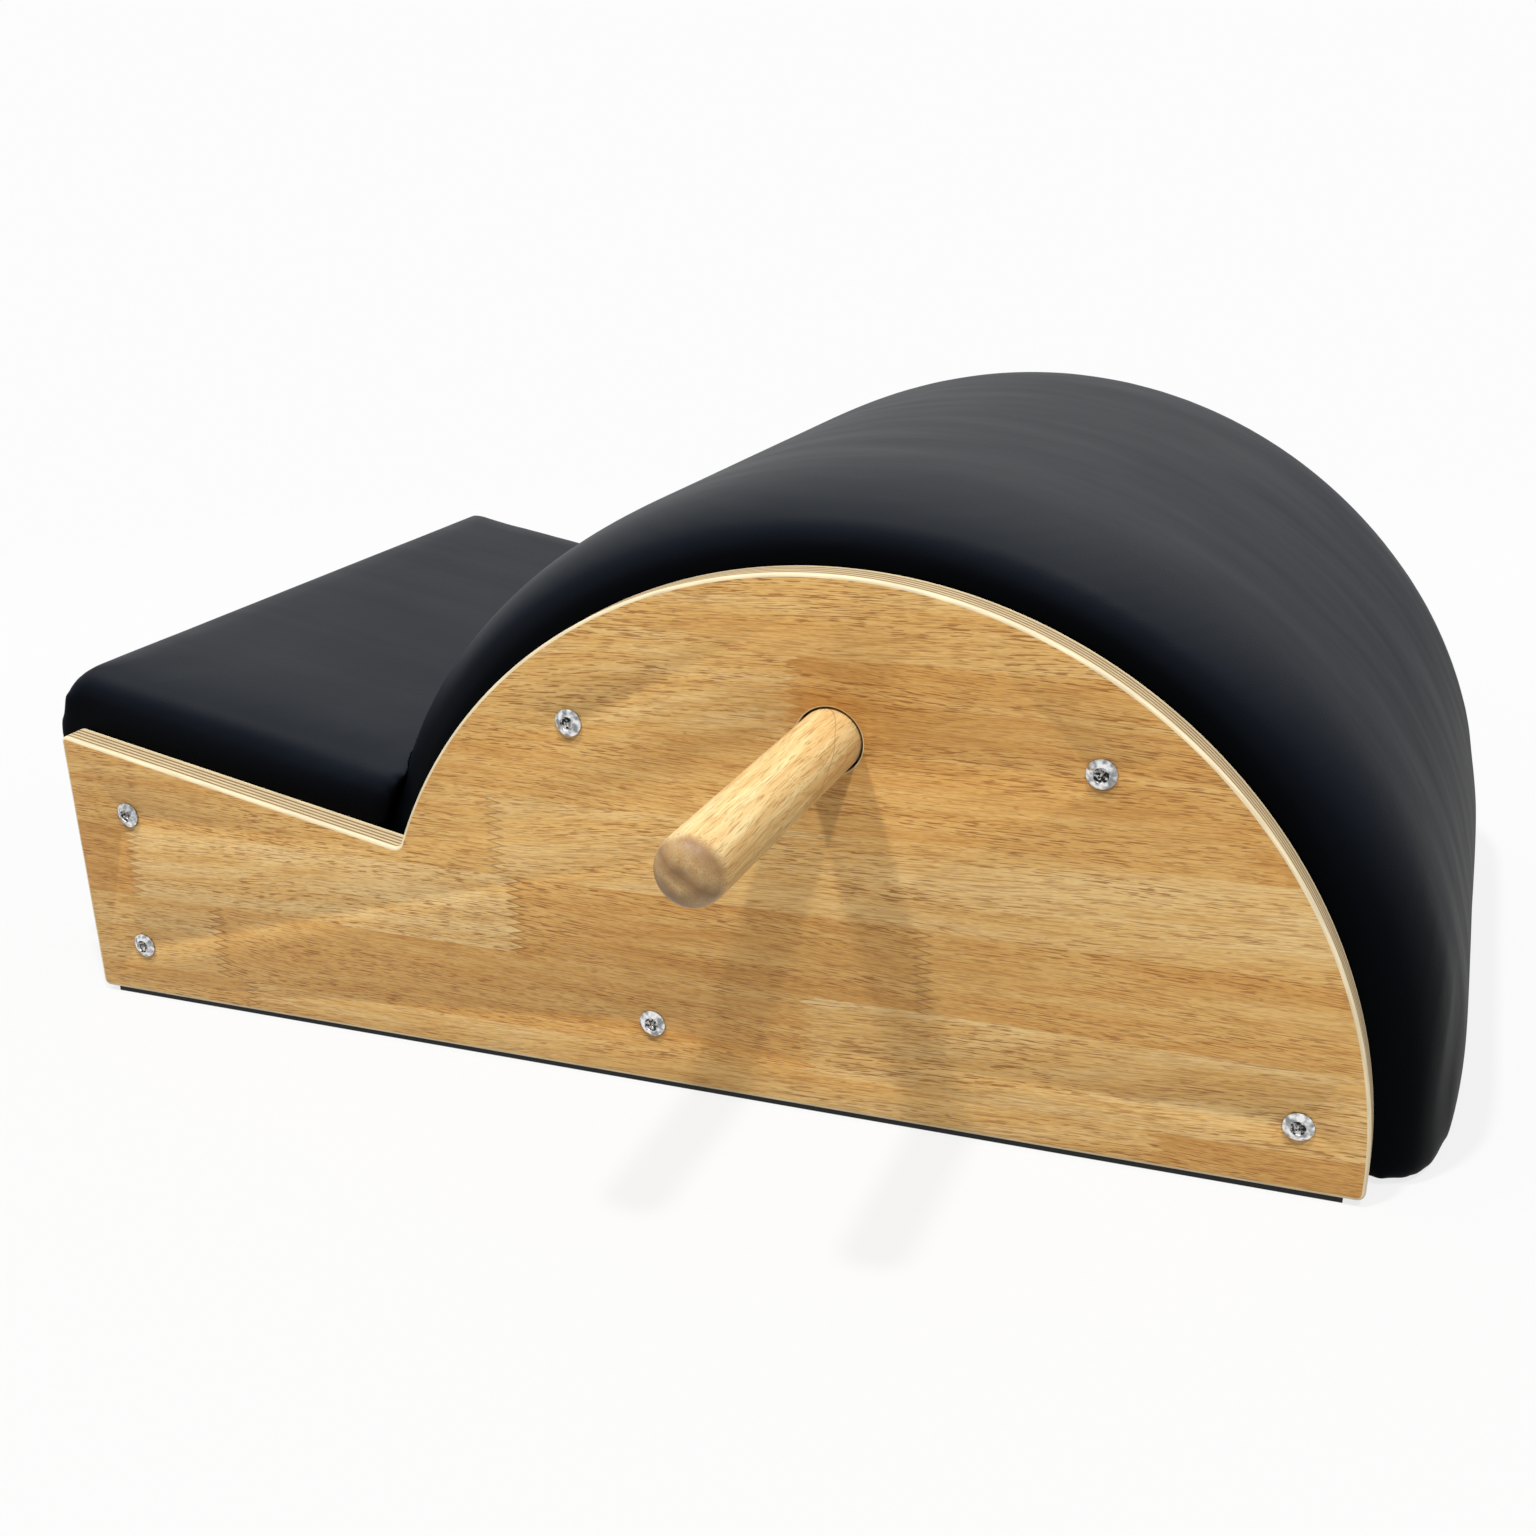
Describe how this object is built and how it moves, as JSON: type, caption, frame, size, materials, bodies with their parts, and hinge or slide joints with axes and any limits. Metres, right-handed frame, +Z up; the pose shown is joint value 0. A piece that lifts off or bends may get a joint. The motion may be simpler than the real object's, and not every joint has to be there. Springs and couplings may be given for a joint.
{
  "type": "pilates spine corrector",
  "caption": "Pilates spine corrector: a padded half-barrel and a sloping padded seat between wooden side panels, with round wooden handles that pull out of the sides.",
  "frame": {"origin": "on the floor, at the middle of the bounding box's base", "axes": "+X from the seat end to the barrel end, +Y from the near panel to the far panel, +Z up"},
  "size_m": [0.8105, 0.876, 0.3337],
  "materials": {
    "panel_wood": "clear satin lacquer",
    "rail_wood": "planed",
    "plywood": "sanded",
    "foam": "open cell",
    "leatherette": "soft satin",
    "handle_wood": "clear satin lacquer",
    "rubber": "matte",
    "plated_steel": "bright nickel",
    "zinc_steel": "zinc plated",
    "brass": "turned"
  },
  "bodies": {
    "frame": {"side_panel_near": "panel_wood", "side_panel_far": "panel_wood", "seat_end_rail_upper": "rail_wood", "seat_end_rail_lower": "rail_wood", "bottom_rail": "rail_wood", "barrel_front_rail": "rail_wood", "barrel_rear_rail": "rail_wood", "seat_cleat_near": "rail_wood", "seat_cleat_far": "rail_wood", "handle_socket_near": "rail_wood", "handle_socket_far": "rail_wood", "rear_low_strip": "plywood", "centre_rib": "plywood", "seat_board": "plywood", "barrel_shell": "plywood", "seat_foam": "foam", "barrel_foam": "foam", "seat_cover": "leatherette", "barrel_cover": "leatherette", "foot_strip_near": "rubber", "foot_strip_far": "rubber", "panel_screw_near_1": "plated_steel", "panel_screw_near_2": "plated_steel", "panel_screw_near_3": "plated_steel", "panel_screw_near_4": "plated_steel", "panel_screw_near_5": "plated_steel", "panel_screw_near_6": "plated_steel", "panel_screw_far_1": "plated_steel", "panel_screw_far_2": "plated_steel", "panel_screw_far_3": "plated_steel", "panel_screw_far_4": "plated_steel", "panel_screw_far_5": "plated_steel", "panel_screw_far_6": "plated_steel", "rail_insert_near_1": "brass", "rail_insert_near_2": "brass", "rail_insert_near_3": "brass", "rail_insert_near_4": "brass", "rail_insert_near_5": "brass", "rail_insert_near_6": "brass", "rail_insert_far_1": "brass", "rail_insert_far_2": "brass", "rail_insert_far_3": "brass", "rail_insert_far_4": "brass", "rail_insert_far_5": "brass", "rail_insert_far_6": "brass", "cleat_screw_1": "zinc_steel", "cleat_screw_2": "zinc_steel", "cleat_screw_3": "zinc_steel", "cleat_screw_4": "zinc_steel", "seat_pad_screw_1": "zinc_steel", "seat_pad_screw_2": "zinc_steel", "seat_pad_screw_3": "zinc_steel", "seat_pad_screw_4": "zinc_steel", "barrel_pad_screw_1": "zinc_steel", "barrel_pad_screw_2": "zinc_steel", "barrel_pad_screw_3": "zinc_steel", "barrel_pad_screw_4": "zinc_steel"},
    "handle_near": {"handle_near": "handle_wood"},
    "handle_far": {"handle_far": "handle_wood"}
  },
  "joints": [
    {"name": "handle_near_pull", "type": "slide", "parent": "frame", "child": "handle_near", "axis": [0, -1, 0], "range_m": [0, 0.075]},
    {"name": "handle_far_pull", "type": "slide", "parent": "frame", "child": "handle_far", "axis": [0, 1, 0], "range_m": [0, 0.075]}
  ]
}
